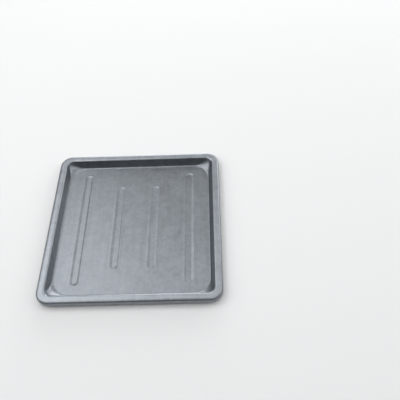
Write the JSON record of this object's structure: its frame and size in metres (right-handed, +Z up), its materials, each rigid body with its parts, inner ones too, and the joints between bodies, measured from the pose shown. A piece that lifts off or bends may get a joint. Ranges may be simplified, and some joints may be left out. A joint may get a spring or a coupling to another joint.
{
  "type": "oil drip pan",
  "caption": "Shallow square sheet-steel pan with leaning walls, pressed floor grooves and a wired, rolled rim, for catching oil under a vehicle.",
  "frame": {"origin": "centre of the pan's square footprint, on the ground, level with the flat undersides of the floor grooves", "axes": "+Z up out of the pan's mouth, the grooves run along Y, +Y towards the side where the rim wire's ends meet"},
  "size_m": [0.559, 0.559, 0.032],
  "materials": {
    "galvanised_sheet": "dull galvanised, fine mottle, faint drawing marks",
    "galvanised_wire": "drawn galvanised wire"
  },
  "bodies": {
    "root": {"pan_sheet": "galvanised_sheet", "rim_wire": "galvanised_wire"}
  },
  "joints": []
}
